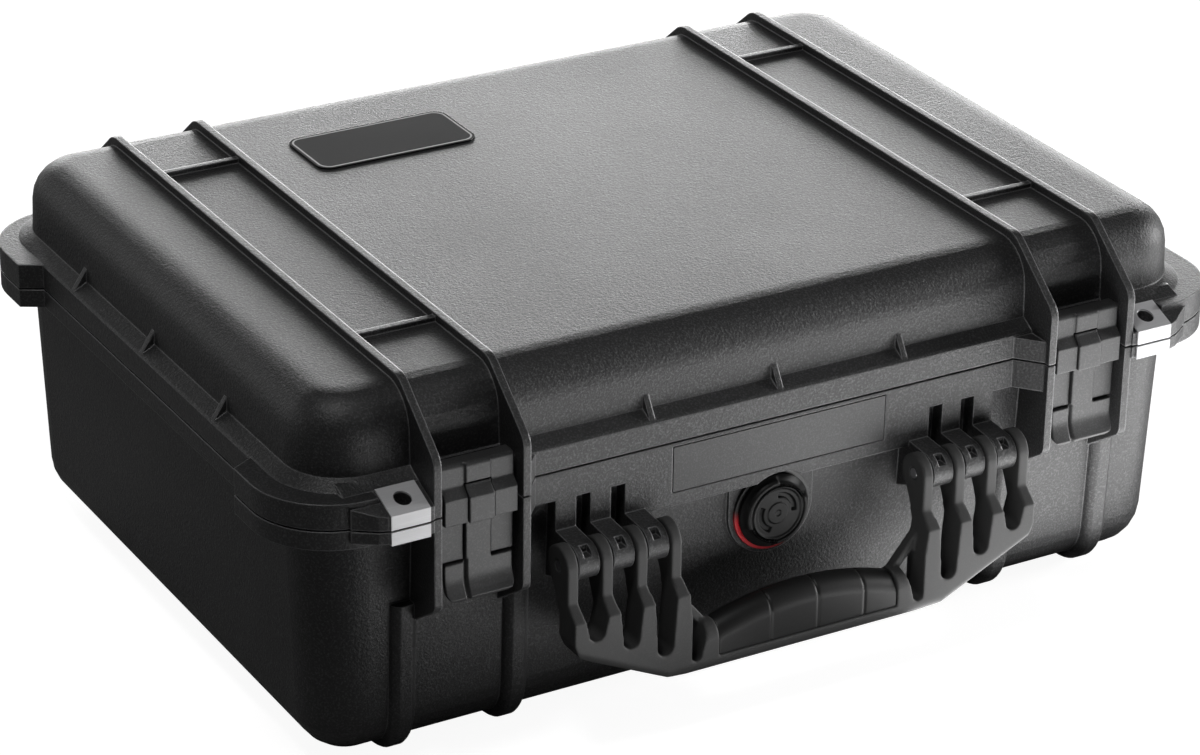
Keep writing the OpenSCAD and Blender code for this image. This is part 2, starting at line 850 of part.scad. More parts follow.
// A bent steel plate over the lid's ear
module lid_lock_plate() {
    x0 = ear_end_x - lock_plate_w / 2;
    t = lock_plate_t;
    front_z = lid_low_z + ear_h;
    back = 15;
    rise = back * tan(ear_slope);
    top_t = t / cos(ear_slope);
    color([0.8, 0.8, 0.82])
        difference() {
            slice(x0, lock_plate_w)
                polygon([
                    [ear_out_y, lid_low_z], [ear_out_y - t, lid_low_z],
                    [ear_out_y - t, front_z + top_t - t * tan(ear_slope)],
                    [ear_out_y + back, front_z + rise + top_t], [ear_out_y + back, front_z + rise],
                    [ear_out_y, front_z]]);
            translate([lock_x, lock_y, lid_low_z])
                cylinder(r = lock_r, h = 3 * ear_h);
        }
}

// A bent steel plate under the base's ear
module base_lock_plate() {
    x0 = ear_end_x - lock_plate_w / 2;
    t = lock_plate_t;
    low_z = base_top_z - ear_base_h;
    back = 15;
    color([0.8, 0.8, 0.82])
        difference() {
            slice(x0, lock_plate_w)
                polygon([
                    [ear_out_y, base_top_z], [ear_out_y - t, base_top_z], [ear_out_y - t, low_z - t],
                    [ear_out_y + back, low_z - t], [ear_out_y + back, low_z], [ear_out_y, low_z]]);
            translate([lock_x, lock_y, low_z - 2 * t])
                cylinder(r = lock_r, h = 3 * t);
        }
}

// ---------- latches ----------

// Front outline of a latch in y and z, between two heights, with the raised band
module latch_side_outline(out, low_z, top_z, back_y) {
    face = latch_face_y - out;
    band = face - latch_band_out;
    band_top = latch_band_z + latch_band_h;
    polygon(concat(
        [[back_y, low_z], [face + 0.6, low_z], [face + 0.6, latch_band_z], [band, latch_band_z]],
        [[band, band_top], [face, band_top + 3.8], [face, top_z - latch_edge_r]],
        arc([face + latch_edge_r, top_z - latch_edge_r], latch_edge_r, 180, 90),
        [[back_y, top_z]]));
}

// The latch's cover: two side plates joined over the lever, with cheeks and hooks behind
module latch_body_shape() {
    top_z = latch_z + latch_top;
    cheek = 3;
    cheek_back = latch_y + 3;
    hook_top = pocket_low_z - latch_gap;
    difference() {
        union() {
            slice(0, latch_w)
                latch_side_outline(0, latch_foot_z, top_z, latch_face_y + latch_t);
            slice(0, strip_w)
                polygon(concat(
                    [[latch_face_y + 1, strip_top_z + 0.6], [latch_face_y - strip_out, strip_top_z + 0.6]],
                    arc([latch_face_y - strip_out + latch_edge_r, top_z - latch_edge_r],
                        latch_edge_r, 180, 90),
                    [[latch_face_y + latch_t, top_z]]));
            slice(0, latch_w)
                polygon([
                    [latch_face_y + latch_t, top_z - 2.6], [cheek_back - 2, top_z - 2.6],
                    [cheek_back - 2, top_z], [latch_face_y + latch_t, top_z]]);
            for (s = [-1, 1])
                slice(s * (latch_w - cheek) / 2, cheek) {
                    polygon([
                        [latch_face_y + 1, hook_top - 7], [cheek_back - 2, hook_top - 7],
                        [cheek_back + 3.5, hook_top - 4],
                        [cheek_back + 3.5, hook_top], [cheek_back, hook_top], [cheek_back, latch_z],
                        [cheek_back, top_z - 3], [cheek_back - 2, top_z],
                        [latch_face_y + 1, top_z - latch_edge_r]]);
                }
        }
        // The channel for the lever's strip
        translate([-strip_w / 2 - 0.4, latch_face_y - 20, latch_foot_z - 1])
            cube([strip_w + 0.8, 40, strip_top_z + 0.6 - latch_foot_z + 1]);
        rod(0, latch_y, latch_z, latch_pin_r + pin_clearance, latch_w + 2);
        rod(0, lever_y, lever_z, latch_pin_r, latch_w - 1);
    }
}

// The lever: a strip in the cover's channel and a flared finger tab under it
module latch_lever_shape() {
    face = latch_face_y - strip_out;
    band = face - latch_band_out;
    band_top = latch_band_z + latch_band_h;
    tab_top = latch_foot_z - 0.6;
    tab_w = latch_w - 2.4;
    tab_r = 5;
    flare_z = tab_top - 6;
    lip_z = lever_foot_z + 4;
    difference() {
        union() {
            slice(0, strip_w)
                polygon([
                    [face + 3.4, tab_top - 1], [face, tab_top - 1], [face, latch_band_z],
                    [band, latch_band_z],
                    [band, band_top], [face, band_top + 3.8], [face, strip_top_z],
                    [face + 2.4, strip_top_z], [lever_y + 3.4, lever_z + 3.4],
                    [lever_y + 3.4, lever_z - 3.4],
                    [face + 3.4, lever_z - 9]]);
            intersection() {
                slice(0, tab_w)
                    polygon(concat(
                        [[face + 3.4, tab_top], [face, tab_top], [face, flare_z]],
                        [for (i = [1 : arc_steps]) [
                            face - lever_flare * (1 - cos(90 * i / arc_steps)) * 0.6,
                            flare_z - (flare_z - lip_z) * i / arc_steps]],
                        [[face - lever_flare, lever_foot_z + 1.6], [face - lever_flare + 1, lever_foot_z]],
                        [[face - lever_flare + 2.6, lever_foot_z], [face + 1.6, lip_z + 2],
                        [face + 3.4, tab_top - 5]]));
                translate([0, face - 20, 0])
                    rotate([-90, 0, 0])
                        linear_extrude(40) {
                            translate([-tab_w / 2, -tab_top])
                                square([tab_w, tab_top - lever_foot_z - tab_r]);
                            translate([-tab_w / 2 + tab_r, -tab_top])
                                square([tab_w - 2 * tab_r, tab_top - lever_foot_z]);
                            for (s = [-1, 1])
                                translate([s * (tab_w / 2 - tab_r), -lever_foot_z - tab_r])
                                    circle(tab_r);
                        }
            }
        }
        rod(0, lever_y, lever_z, latch_pin_r + pin_clearance, strip_w + 2);
    }
}

module latch_body(side) {
    color([0.13, 0.13, 0.135])
        translate([side * pair_x, 0, 0])
            latch_body_shape();
}

module latch_lever(side) {
    color([0.12, 0.12, 0.125])
        translate([side * pair_x, 0, 0])
            latch_lever_shape();
}

module latch_pin(side) {
    color([0.6, 0.6, 0.62])
        rod(side * pair_x, latch_y, latch_z, latch_pin_r, pair_room + rib_w);
}

module lever_pin(side) {
    color([0.6, 0.6, 0.62])
        rod(side * pair_x, lever_y, lever_z, latch_pin_r, latch_w - 1);
}

module hinge_pin(side) {
    color([0.6, 0.6, 0.62])
        rod(side * pair_x, hinge_y, parting_z, hinge_pin_r, hinge_span);
}

// ---------- handle ----------

// Side outline of the handle in y and z: round ends, arms and the thicker lower part
module handle_side_outline() {
    arm_front = handle_y - arm_r;
    slab_back = slab_y + handle_t;
    translate([handle_y, handle_z])
        circle(arm_r);
    polygon(concat(
        [[handle_y, handle_z + arm_r / 2], [arm_front, handle_z], [arm_front, crease_z],
        [slab_y, slab_top_z]],
        arc([slab_y + 6, handle_low_z + 8], 6, 180, 235),
        [[slab_y + 6, handle_low_z], [slab_back - 2, handle_low_z], [slab_back, handle_low_z + 3]],
        [[slab_back, slab_top_z], [handle_y + arm_r, handle_z]]));
}

// Half the width of the room between two arms at the crease and at the lower part's top
crease_half = (arm_pitch - arm_w) / 2;
shoulder_half = (arm_pitch + handle_slot_w) / 4 - 0.9;

// One slot between two arms: a round lower end that widens upwards
module arm_slot(x, z) {
    translate([x, 0]) {
        translate([0, z])
            circle(handle_slot_w / 2);
        polygon([
            [-handle_slot_w / 2, z], [handle_slot_w / 2, z], [shoulder_half, slab_top_z],
            [crease_half, crease_z],
            [crease_half, handle_z + 2 * arm_r], [-crease_half, handle_z + 2 * arm_r],
            [-crease_half, crease_z],
            [-shoulder_half, slab_top_z]]);
    }
}

// Front outline of the right half of the handle, in x and z
module handle_front_outline() {
    end_x = arm_xs[3] + arm_w / 2;
    in_x = arm_xs[0] - arm_w / 2;
    slope_x = arm_in_x + 1;
    rise = tan(25.5);
    corner_z = handle_low_z + (end_x - 9 - slope_x) * rise;
    slot_r = 2.6;
    slot_x = in_x - slot_r - 2.2;
    difference() {
        polygon([
            [-eps, handle_low_z], [slope_x - 6, handle_low_z], [slope_x + 4, handle_low_z + 5 * rise],
            [end_x - 9, corner_z], [end_x - 2.5, corner_z + 5], [end_x, corner_z + 11],
            [end_x, handle_z + arm_r + 1], [in_x, handle_z + arm_r + 1], [in_x, crease_z],
            [in_x - 0.8, slab_top_z], [in_x - 2.2, grip_z + grip_h], [slot_x, grip_z + slot_r],
            [slot_x - slot_r, grip_z + slot_r], [grip_half + collar_w, grip_z + grip_h],
            [-eps, grip_z + grip_h]]);
        // Slots between the arms
        for (i = [0 : 2])
            arm_slot(knuckle_xs[i], grip_z + 7.2 + handle_slot_w / 2 + i * handle_slot_rise);
        // The slot beside the grip
        translate([slot_x, grip_z + slot_r])
            circle(slot_r);
        polygon([
            [slot_x - slot_r, grip_z + slot_r], [slot_x + slot_r, grip_z + slot_r],
            [slot_x + slot_r, grip_z + grip_h],
            [grip_half + collar_w, grip_z + grip_h], [slot_x - slot_r - 0.5, grip_z + 3 * slot_r]]);
    }
}

// The space over the handle's lower bar: it keeps the collars' rounded shape
module over_bar_outline() {
    r = handle_t / 2 + 1;
    top_z = grip_z + grip_h - grip_crown + 1.2;
    difference() {
        translate([slab_y - 10, grip_z])
            square([60, slab_top_z]);
        translate([slab_y + r, top_z - r])
            circle(r);
        translate([slab_y, grip_z - 1])
            square([2 * r, top_z - r - grip_z + 1]);
    }
}

// Core bar that the grip is moulded round
module grip_core_outline() {
    translate([slab_y + 4, grip_z - 4])
        square([handle_t - 7, grip_h - grip_crown - 1]);
}

module handle_frame() {
    brace_y = slab_y + handle_t;
    in_x = arm_xs[0] - arm_w / 2;
    color([0.14, 0.14, 0.145]) {
        difference() {
            both_sides()
                intersection() {
                    translate([0, slab_y - 5, 0])
                        rotate([90, 0, 0])
                            mirror([0, 0, 1])
                                linear_extrude(60)
                                    handle_front_outline();
                    slice(arm_xs[3] / 2, arm_xs[3] + 40)
                        handle_side_outline();
                }
            both_sides()
                rod(knuckle_xs[1], handle_y, handle_z, handle_pin_r + pin_clearance, 4 * arm_pitch);
            // Collars keep the grip's rounded section, and the grip sits between them
            slice(0, 2 * (in_x - 3))
                over_bar_outline();
            translate([-grip_half, slab_y - 1, grip_z])
                cube([2 * grip_half, 3 * handle_t, 2 * grip_h]);
        }
        slice(0, 2 * grip_half + 2)
            grip_core_outline();
        // Braces from the collars to the inner arms, at the back
        both_sides()
            translate([0, brace_y - 1, 0])
                rotate([90, 0, 0])
                    linear_extrude(5)
                        polygon([
                            [grip_half + 1, grip_z + 8], [grip_half + 1, grip_z + 14],
                            [in_x + 1, slab_top_z - 1],
                            [in_x + 1, slab_top_z - 8]]);
    }
}

// The grip's outer form, drawn in by inset: a bar with a rounded section that rises to the middle
module grip_form(inset) {
    r = handle_t / 2 + 1;
    mid_y = slab_y + r + 0.5;
    crown_r = (grip_half * grip_half + grip_crown * grip_crown) / (2 * grip_crown);
    depth = grip_h + 8;
    translate([0, mid_y, grip_z + grip_h - crown_r])
        rotate([90, 0, 0])
            rotate([0, 0, 60])
                rotate_extrude(angle = 60, $fn = 180) {
                    translate([crown_r - r, 0])
                        circle(r - inset, $fn = 64);
                    translate([crown_r - depth, -r + inset])
                        square([depth - r, 2 * (r - inset)]);
                }
}

module handle_grip() {
    half = grip_half - 0.2;
    color([0.03, 0.03, 0.03])
        difference() {
            intersection() {
                grip_form(0);
                translate([-half, slab_y - 10, grip_z])
                    cube([2 * half, 60, grip_h + 5]);
            }
            for (i = [-1 : 1])
                difference() {
                    translate([grip_groove_x + i * grip_groove_pitch - grip_groove_w / 2,
                        slab_y - 10, grip_z - 1])
                        cube([grip_groove_w, 60, grip_h + 10]);
                    grip_form(0.7);
                }
            slice(0, 3 * grip_half)
                grip_core_outline();
        }
}

module handle_pin(side) {
    color([0.6, 0.6, 0.62])
        rod(side * (arm_xs[0] + arm_xs[3]) / 2, handle_y, handle_z, handle_pin_r, 3 * arm_pitch +
            arm_w - 0.6);
}

// ---------- pressure valve ----------

module valve_stem() {
    back_y = valve_wall_y + wall + stem_back;
    color([0.2, 0.2, 0.2])
        difference() {
            front_disc(back_y, valve_z, valve_stem_r, back_y - stem_front_y);
            front_disc(back_y + 1, valve_z, valve_stem_r - 3, wall + stem_back);
        }
}

module valve_nut() {
    color([0.15, 0.15, 0.15])
        difference() {
            translate([0, valve_wall_y + wall + stem_back - 0.6, valve_z])
                rotate([90, 0, 0])
                    cylinder(r = valve_stem_r + 4, h = 4, $fn = 6);
            front_disc(valve_wall_y + wall + stem_back, valve_z, valve_stem_r, stem_back + 1);
        }
}

module valve_ring() {
    color([0.75, 0.05, 0.06])
        difference() {
            front_disc(valve_boss_y, valve_z, valve_ring_r, valve_ring_t);
            front_disc(valve_boss_y + 1, valve_z, valve_stem_r, valve_ring_t + 2);
        }
}

module valve_knob() {
    step = valve_knob_r - valve_face_r;
    color([0.04, 0.04, 0.04])
        difference() {
            translate([0, knob_y, valve_z])
                rotate([90, 0, 0])
                    rotate_extrude()
                        polygon([
                            [0, 0], [valve_knob_r, 0], [valve_knob_r, valve_knob_l - 3.6],
                            [valve_face_r + step / 4, valve_knob_l - 1],
                            [valve_face_r, valve_knob_l], [0, valve_knob_l]]);
            front_disc(knob_y + 1, valve_z, valve_stem_r + pin_clearance, 3.4);
        }
}

// ---------- foam ----------

module foam_block(z, h, u) {
    translate([0, 0, z])
        linear_extrude(h)
            plan_outline(u);
}

module foam_pad() {
    u = -wall - foam_gap - wall_in(floor_z + wall) - max(base_r - wall, 1);
    color([0.17, 0.17, 0.18])
        foam_block(floor_z + wall, foam_pad_h, u);
}

module foam_insert() {
    z0 = floor_z + wall + foam_pad_h;
    u = -wall - foam_gap - wall_in(floor_z + wall);
    color([0.19, 0.19, 0.2])
        difference() {
            foam_block(z0, parting_z - z0 - 6, u);
            translate([-pocket_w / 2, case_back - pocket_d / 2, z0 - 1])
                cube([pocket_w, pocket_d, parting_z]);
            front_disc(valve_wall_y + wall + stem_back + 1, valve_z, valve_stem_r + 5.5, wall + 10);
        }
}

module foam_lid() {
    u = -wall - foam_gap - wall_in(lid_top_z) - lid_r + wall;
    color([0.17, 0.17, 0.18])
        foam_block(lid_top_z - wall - foam_lid_h, foam_lid_h, u);
}

base_shell();
lid_shell();
lid_seal();
hinge_pin(-1);  // hinge_pin_left
hinge_pin(1);  // hinge_pin_right
latch_body(-1);  // latch_body_left
latch_body(1);  // latch_body_right
latch_lever(-1);  // latch_lever_left
latch_lever(1);  // latch_lever_right
latch_pin(-1);  // latch_pin_left
latch_pin(1);  // latch_pin_right
lever_pin(-1);  // lever_pin_left
lever_pin(1);  // lever_pin_right
handle_frame();
handle_grip();
handle_pin(-1);  // handle_pin_left
handle_pin(1);  // handle_pin_right
valve_stem();
valve_nut();
valve_ring();
valve_knob();
mirror([1, 0, 0]) lid_ear();  // lid_ear_left
lid_ear();  // lid_ear_right
mirror([1, 0, 0]) base_ear();  // base_ear_left
base_ear();  // base_ear_right
mirror([1, 0, 0]) lid_lock_plate();  // lid_lock_plate_left
lid_lock_plate();  // lid_lock_plate_right
mirror([1, 0, 0]) base_lock_plate();  // base_lock_plate_left
base_lock_plate();  // base_lock_plate_right
name_panel();
lid_label();
foam_pad();
foam_insert();
foam_lid();
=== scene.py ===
# %% [markdown]
# # A hard case for a laptop
#
# The case lies shut on its foot runners. Its solid parts come from the imported frame, in metres,
# and every one of them already sits in its place. This lesson gives them their finishes, swaps
# the handle, latches, valve knob and foam for finer surfaces, and sets the camera and
# the lamps of a small studio.
#
# The frame is loaded first.

# %% Load the frame
import json
import math

import bmesh
import bpy
import numpy as np
from mathutils import Matrix, Vector


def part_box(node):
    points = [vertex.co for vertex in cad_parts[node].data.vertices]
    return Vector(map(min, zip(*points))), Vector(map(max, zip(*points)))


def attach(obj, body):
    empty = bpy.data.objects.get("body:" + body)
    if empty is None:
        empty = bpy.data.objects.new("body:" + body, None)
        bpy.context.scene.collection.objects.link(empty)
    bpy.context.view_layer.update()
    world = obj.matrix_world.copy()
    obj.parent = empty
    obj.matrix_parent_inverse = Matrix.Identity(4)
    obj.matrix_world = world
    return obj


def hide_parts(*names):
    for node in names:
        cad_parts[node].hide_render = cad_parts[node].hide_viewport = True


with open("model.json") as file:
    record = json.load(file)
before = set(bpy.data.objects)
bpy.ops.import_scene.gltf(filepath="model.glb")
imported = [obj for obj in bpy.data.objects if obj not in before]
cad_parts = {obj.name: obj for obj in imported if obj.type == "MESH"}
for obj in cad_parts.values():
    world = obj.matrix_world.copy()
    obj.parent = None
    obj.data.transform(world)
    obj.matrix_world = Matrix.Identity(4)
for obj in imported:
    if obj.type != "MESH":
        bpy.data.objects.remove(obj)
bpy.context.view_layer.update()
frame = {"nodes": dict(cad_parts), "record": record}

# %% [markdown]
# The camera stands in front of the left corner, about two metres away and as high as a
# standing person's chest over a table. A long lens keeps the edges of the case nearly parallel.
# The view is given by three turns, and the matrix is built from them so that each can be read.

# %% Camera
CAMERA_AT = (-0.9056, -1.5724, 0.9585)
CAMERA_YAW, CAMERA_PITCH, CAMERA_ROLL = (math.radians(a) for a in (30.024, 25.823, 0.814))
SENSOR = 36.0
LENS = SENSOR * 4113.2 / 1200


def camera_matrix(at, yaw, pitch, roll):
    """Forward leans down by pitch after a turn by yaw from +Y; right and up then turn by roll."""
    forward = Vector((math.sin(yaw) * math.cos(pitch), math.cos(yaw) * math.cos(pitch), -math.sin(pitch)))
    right = Vector((math.cos(yaw), -math.sin(yaw), 0))
    up = right.cross(forward)
    r = right * math.cos(roll) + up * math.sin(roll)
    u = up * math.cos(roll) - right * math.sin(roll)
    turn = Matrix((r, u, -forward)).transposed().to_4x4()
    return Matrix.Translation(at) @ turn


scene = bpy.context.scene
camera = bpy.data.objects.new("camera", bpy.data.cameras.new("camera"))
camera.data.lens, camera.data.sensor_width = LENS, SENSOR
camera.matrix_world = camera_matrix(Vector(CAMERA_AT), CAMERA_YAW, CAMERA_PITCH, CAMERA_ROLL)
scene.collection.objects.link(camera)
scene.camera = camera
scene.view_settings.view_transform = "Standard"
print("lens, mm:", round(camera.data.lens, 1))

# %% [markdown]
# Dark plastic shows its form by what it mirrors. A broad soft lamp low behind the case lays a
# sheen over the lid. Three lamps lie flat on the floor in front, hidden from the lens, so that the
# upright front mirrors them while the sloping shoulder above it stays dark. One at the right rakes
# over the ribs, and a small one above picks out the rounded edges. Their places and powers were
# tuned to one view, so this isn't a plain studio: from other sides some faces come out too bright.

# %% Lamps


def soft_lamp(name, at, aim, size, power):
    """A rectangular lamp of a size in metres at a point, turned towards aim."""
    lamp = bpy.data.lights.new(name, "AREA")
    lamp.shape, lamp.size, lamp.size_y = "RECTANGLE", size[0], size[1]
    lamp.energy = power
    made = bpy.data.objects.new(name, lamp)
    made.location = at
    made.rotation_euler = (Vector(aim) - Vector(at)).to_track_quat("-Z", "Y").to_euler()
    scene.collection.objects.link(made)
    return made


soft_lamp("lamp_behind", (1.15, 1.9, 0.50), (0.05, 0.0, 0.18), (2.4, 0.55), 46)
soft_lamp("lamp_right", (2.0, -0.62, 0.45), (0.05, -0.16, 0.09), (0.6, 0.5), 34)
soft_lamp("lamp_top", (-0.6, -0.5, 1.9), (0.0, -0.1, 0.12), (0.35, 0.35), 10)
TABLE_LAMP_Z = 0.012
for name, x, y, size, power in (("lamp_table_near", 0.38, -0.28, (0.62, 0.20), 2.2),
                                ("lamp_table_left", -0.06, -0.32, (0.11, 0.13), 0.21),
                                ("lamp_table_far", 0.24, -0.46, (0.80, 0.14), 1.5)):
    table = soft_lamp(name, (x, y, TABLE_LAMP_Z), (x, y, 1.0), size, power)
    table.visible_camera = False

# %% [markdown]
# The world is white to the lens and to whatever is seen through clear parts. Gloss doesn't see
# that white: it gets a bright band low behind the case and a dim room on the near side and above,
# so metal mirrors the dim room too. Matt surfaces get the soft light of the same room.

# %% World


def new_node(tree, kind, place=(0, 0), **values):
    """Adds a node and sets its settings and its inputs by name."""
    made = tree.nodes.new(kind)
    made.location = place
    for key, value in values.items():
        if hasattr(made, key):
            setattr(made, key, value)
        else:
            made.inputs[key.replace("_", " ")].default_value = value
    return made


world = bpy.data.worlds.new("studio")
scene.world = world
world.use_nodes = True
tree = world.node_tree
tree.nodes.clear()
out = new_node(tree, "ShaderNodeOutputWorld", (1050, 0))
path = new_node(tree, "ShaderNodeLightPath", (0, 300))
direction = new_node(tree, "ShaderNodeTexCoord", (-400, 0))
split = new_node(tree, "ShaderNodeSeparateXYZ", (-200, 0))
tree.links.new(direction.outputs["Generated"], split.inputs[0])


def ramp(tree, place, low, high, source):
    """A smooth step of a value from 0 at low to 1 at high."""
    made = new_node(tree, "ShaderNodeMapRange", place, interpolation_type="SMOOTHSTEP")
    made.inputs["From Min"].default_value, made.inputs["From Max"].default_value = low, high
    tree.links.new(source, made.inputs["Value"])
    return made.outputs[0]


def sum_of(tree, place, kind, a, b=None, c=None):
    """A sum or product of two values, or a times b plus c; each is a socket or a number."""
    made = new_node(tree, "ShaderNodeMath", place, operation=kind)
    for socket, value in zip(made.inputs, (a, b, c)):
        if isinstance(value, (int, float)):
            socket.default_value = value
        elif value is not None:
            tree.links.new(value, socket)
    return made.outputs[0]


behind = ramp(tree, (0, 0), -0.1, 0.7, split.outputs["Y"])
low_down = ramp(tree, (0, -250), 0.60, 0.15, split.outputs["Z"])
matt_light = sum_of(tree, (200, 100), "MULTIPLY_ADD", behind, 0.30, 0.03)
wall = sum_of(tree, (200, -100), "MULTIPLY", behind, low_down)
gloss_light = sum_of(tree, (400, -100), "MULTIPLY_ADD", wall, 0.85, 0.04)
mixed = matt_light
for flag, light, x in (("Is Glossy Ray", gloss_light, 550), ("Is Transmission Ray", 1.0, 650),
                       ("Is Camera Ray", 1.0, 750)):
    pick = new_node(tree, "ShaderNodeMix", (x, 0), data_type="FLOAT")
    tree.links.new(path.outputs[flag], pick.inputs[0])
    tree.links.new(mixed, pick.inputs[2])
    if isinstance(light, float):
        pick.inputs[3].default_value = light
    else:
        tree.links.new(light, pick.inputs[3])
    mixed = pick.outputs[0]
back = new_node(tree, "ShaderNodeBackground", (850, 0))
back.inputs["Color"].default_value = (1, 1, 1, 1)
tree.links.new(mixed, back.inputs["Strength"])
tree.links.new(back.outputs[0], out.inputs[0])
print("world nodes:", len(tree.nodes))

# %% [markdown]
# The floor catches the shadow. To the lens it is nearly white, because it glows for camera rays
# alone, so that it runs into the white backdrop without a horizon. To every other ray, gloss
# too, it is a mid grey sheet.

# %% Floor
floor_mesh = bpy.data.meshes.new("floor")
FLOOR_HALF = 6.0
floor_mesh.from_pydata(
    [(x * FLOOR_HALF, y * FLOOR_HALF, 0) for x, y in ((-1, -1), (1, -1), (1, 1), (-1, 1))], [], [(0, 1, 2, 3)])
floor = bpy.data.objects.new("floor", floor_mesh)
scene.collection.objects.link(floor)
floor_look = bpy.data.materials.new("floor_white")
floor_look.use_nodes = True
tree = floor_look.node_tree
tree.nodes.clear()
out = new_node(tree, "ShaderNodeOutputMaterial", (800, 0))
matte = new_node(tree, "ShaderNodeBsdfDiffuse", (0, 100), Color=(0.26, 0.26, 0.26, 1))
glow = new_node(tree, "ShaderNodeEmission", (0, -100), Color=(1, 1, 1, 1), Strength=0.93)
path = new_node(tree, "ShaderNodeLightPath", (0, 400))
both = new_node(tree, "ShaderNodeAddShader", (250, 0))
pick = new_node(tree, "ShaderNodeMixShader", (500, 0))
tree.links.new(matte.outputs[0], both.inputs[0])
tree.links.new(glow.outputs[0], both.inputs[1])
tree.links.new(path.outputs["Is Camera Ray"], pick.inputs[0])
tree.links.new(matte.outputs[0], pick.inputs[1])
tree.links.new(both.outputs[0], pick.inputs[2])
tree.links.new(pick.outputs[0], out.inputs[0])
floor_mesh.materials.append(floor_look)
print("floor, m:", 2 * FLOOR_HALF)

# %% [markdown]
# Moulded plastic is never quite even. A fine grain of raised specks breaks the shine, faint
# broad clouds shift the tone, and edges turn smoother and carry a painted highlight, a paler tone
# where light would catch their rounding. Each effect is a node group, so that every finish can use
# it with its own values.

# %% Node groups for grain, clouds and rounded edges with a painted highlight


def new_group(name, inputs, outputs):
    """An empty shader node group with the named sockets; a value of three numbers makes a vector."""
    group = bpy.data.node_groups.new(name, "ShaderNodeTree")
    for side, sockets in (("INPUT", inputs), ("OUTPUT", outputs)):
        for label, value in sockets.items():
            kind = "NodeSocketVector" if isinstance(value, tuple) else "NodeSocketFloat"
            made = group.interface.new_socket(name=label, in_out=side, socket_type=kind)
            if side == "INPUT" and not isinstance(value, tuple):
                made.default_value = value
    return group, new_node(group, "NodeGroupInput", (-800, 0)), new_node(group, "NodeGroupOutput", (900, 0))


def join(tree, *pairs):
    """Links each pair of an output and an input."""
    for a, b in pairs:
        tree.links.new(a, b)


grain, grain_in, grain_out = new_group(
    "moulded_grain", {"Place": (0, 0, 0), "Scale": 900.0, "Coarse": 0.5}, {"Height": 0.0, "Cloud": 0.0, "Speck": 0.0})
fine = new_node(grain, "ShaderNodeTexNoise", (-400, 200), Detail=3.0, Roughness=0.6)
cells = new_node(grain, "ShaderNodeTexVoronoi", (-400, -100), feature="SMOOTH_F1")
cloud = new_node(grain, "ShaderNodeTexNoise", (-400, -400), Scale=9.0, Detail=4.0, Roughness=0.55)
half = new_node(grain, "ShaderNodeMath", (-600, -100), operation="MULTIPLY")
half.inputs[1].default_value = 0.6
height = new_node(grain, "ShaderNodeMix", (200, 100), data_type="FLOAT")
speck = new_node(grain, "ShaderNodeMapRange", (200, 350), interpolation_type="SMOOTHSTEP")
speck.inputs["From Min"].default_value, speck.inputs["From Max"].default_value = 0.46, 0.72
join(grain,
     (grain_in.outputs["Place"], fine.inputs["Vector"]), (grain_in.outputs["Place"], cells.inputs["Vector"]),
     (grain_in.outputs["Place"], cloud.inputs["Vector"]), (grain_in.outputs["Scale"], fine.inputs["Scale"]),
     (grain_in.outputs["Scale"], half.inputs[0]), (half.outputs[0], cells.inputs["Scale"]),
     (grain_in.outputs["Coarse"], height.inputs[0]), (fine.outputs[0], height.inputs[2]),
     (cells.outputs["Distance"], height.inputs[3]), (fine.outputs[0], speck.inputs["Value"]),
     (height.outputs[0], grain_out.inputs["Height"]), (cloud.outputs[0], grain_out.inputs["Cloud"]),
     (speck.outputs[0], grain_out.inputs["Speck"]))

# The edge mask marks the rounded edges, which the finishes paint paler as a painted highlight.
edge, edge_in, edge_out = new_group("rounded_edge", {"Rounding": 0.0009}, {"Normal": (0, 0, 0), "Edge": 0.0})
soft = new_node(edge, "ShaderNodeBevel", (-400, 100), samples=6)
flat = new_node(edge, "ShaderNodeNewGeometry", (-400, -200))
along = new_node(edge, "ShaderNodeVectorMath", (0, -100), operation="DOT_PRODUCT")
mask = new_node(edge, "ShaderNodeMapRange", (300, -100))
for socket, value in (("From Min", 0.965), ("From Max", 0.80), ("To Min", 0.0), ("To Max", 1.0)):
    mask.inputs[socket].default_value = value
join(edge,
     (edge_in.outputs["Rounding"], soft.inputs["Radius"]), (soft.outputs[0], edge_out.inputs["Normal"]),
     (soft.outputs[0], along.inputs[0]), (flat.outputs["Normal"], along.inputs[1]),
     (along.outputs["Value"], mask.inputs["Value"]), (mask.outputs[0], edge_out.inputs["Edge"]))
print("groups:", [g.name for g in bpy.data.node_groups])
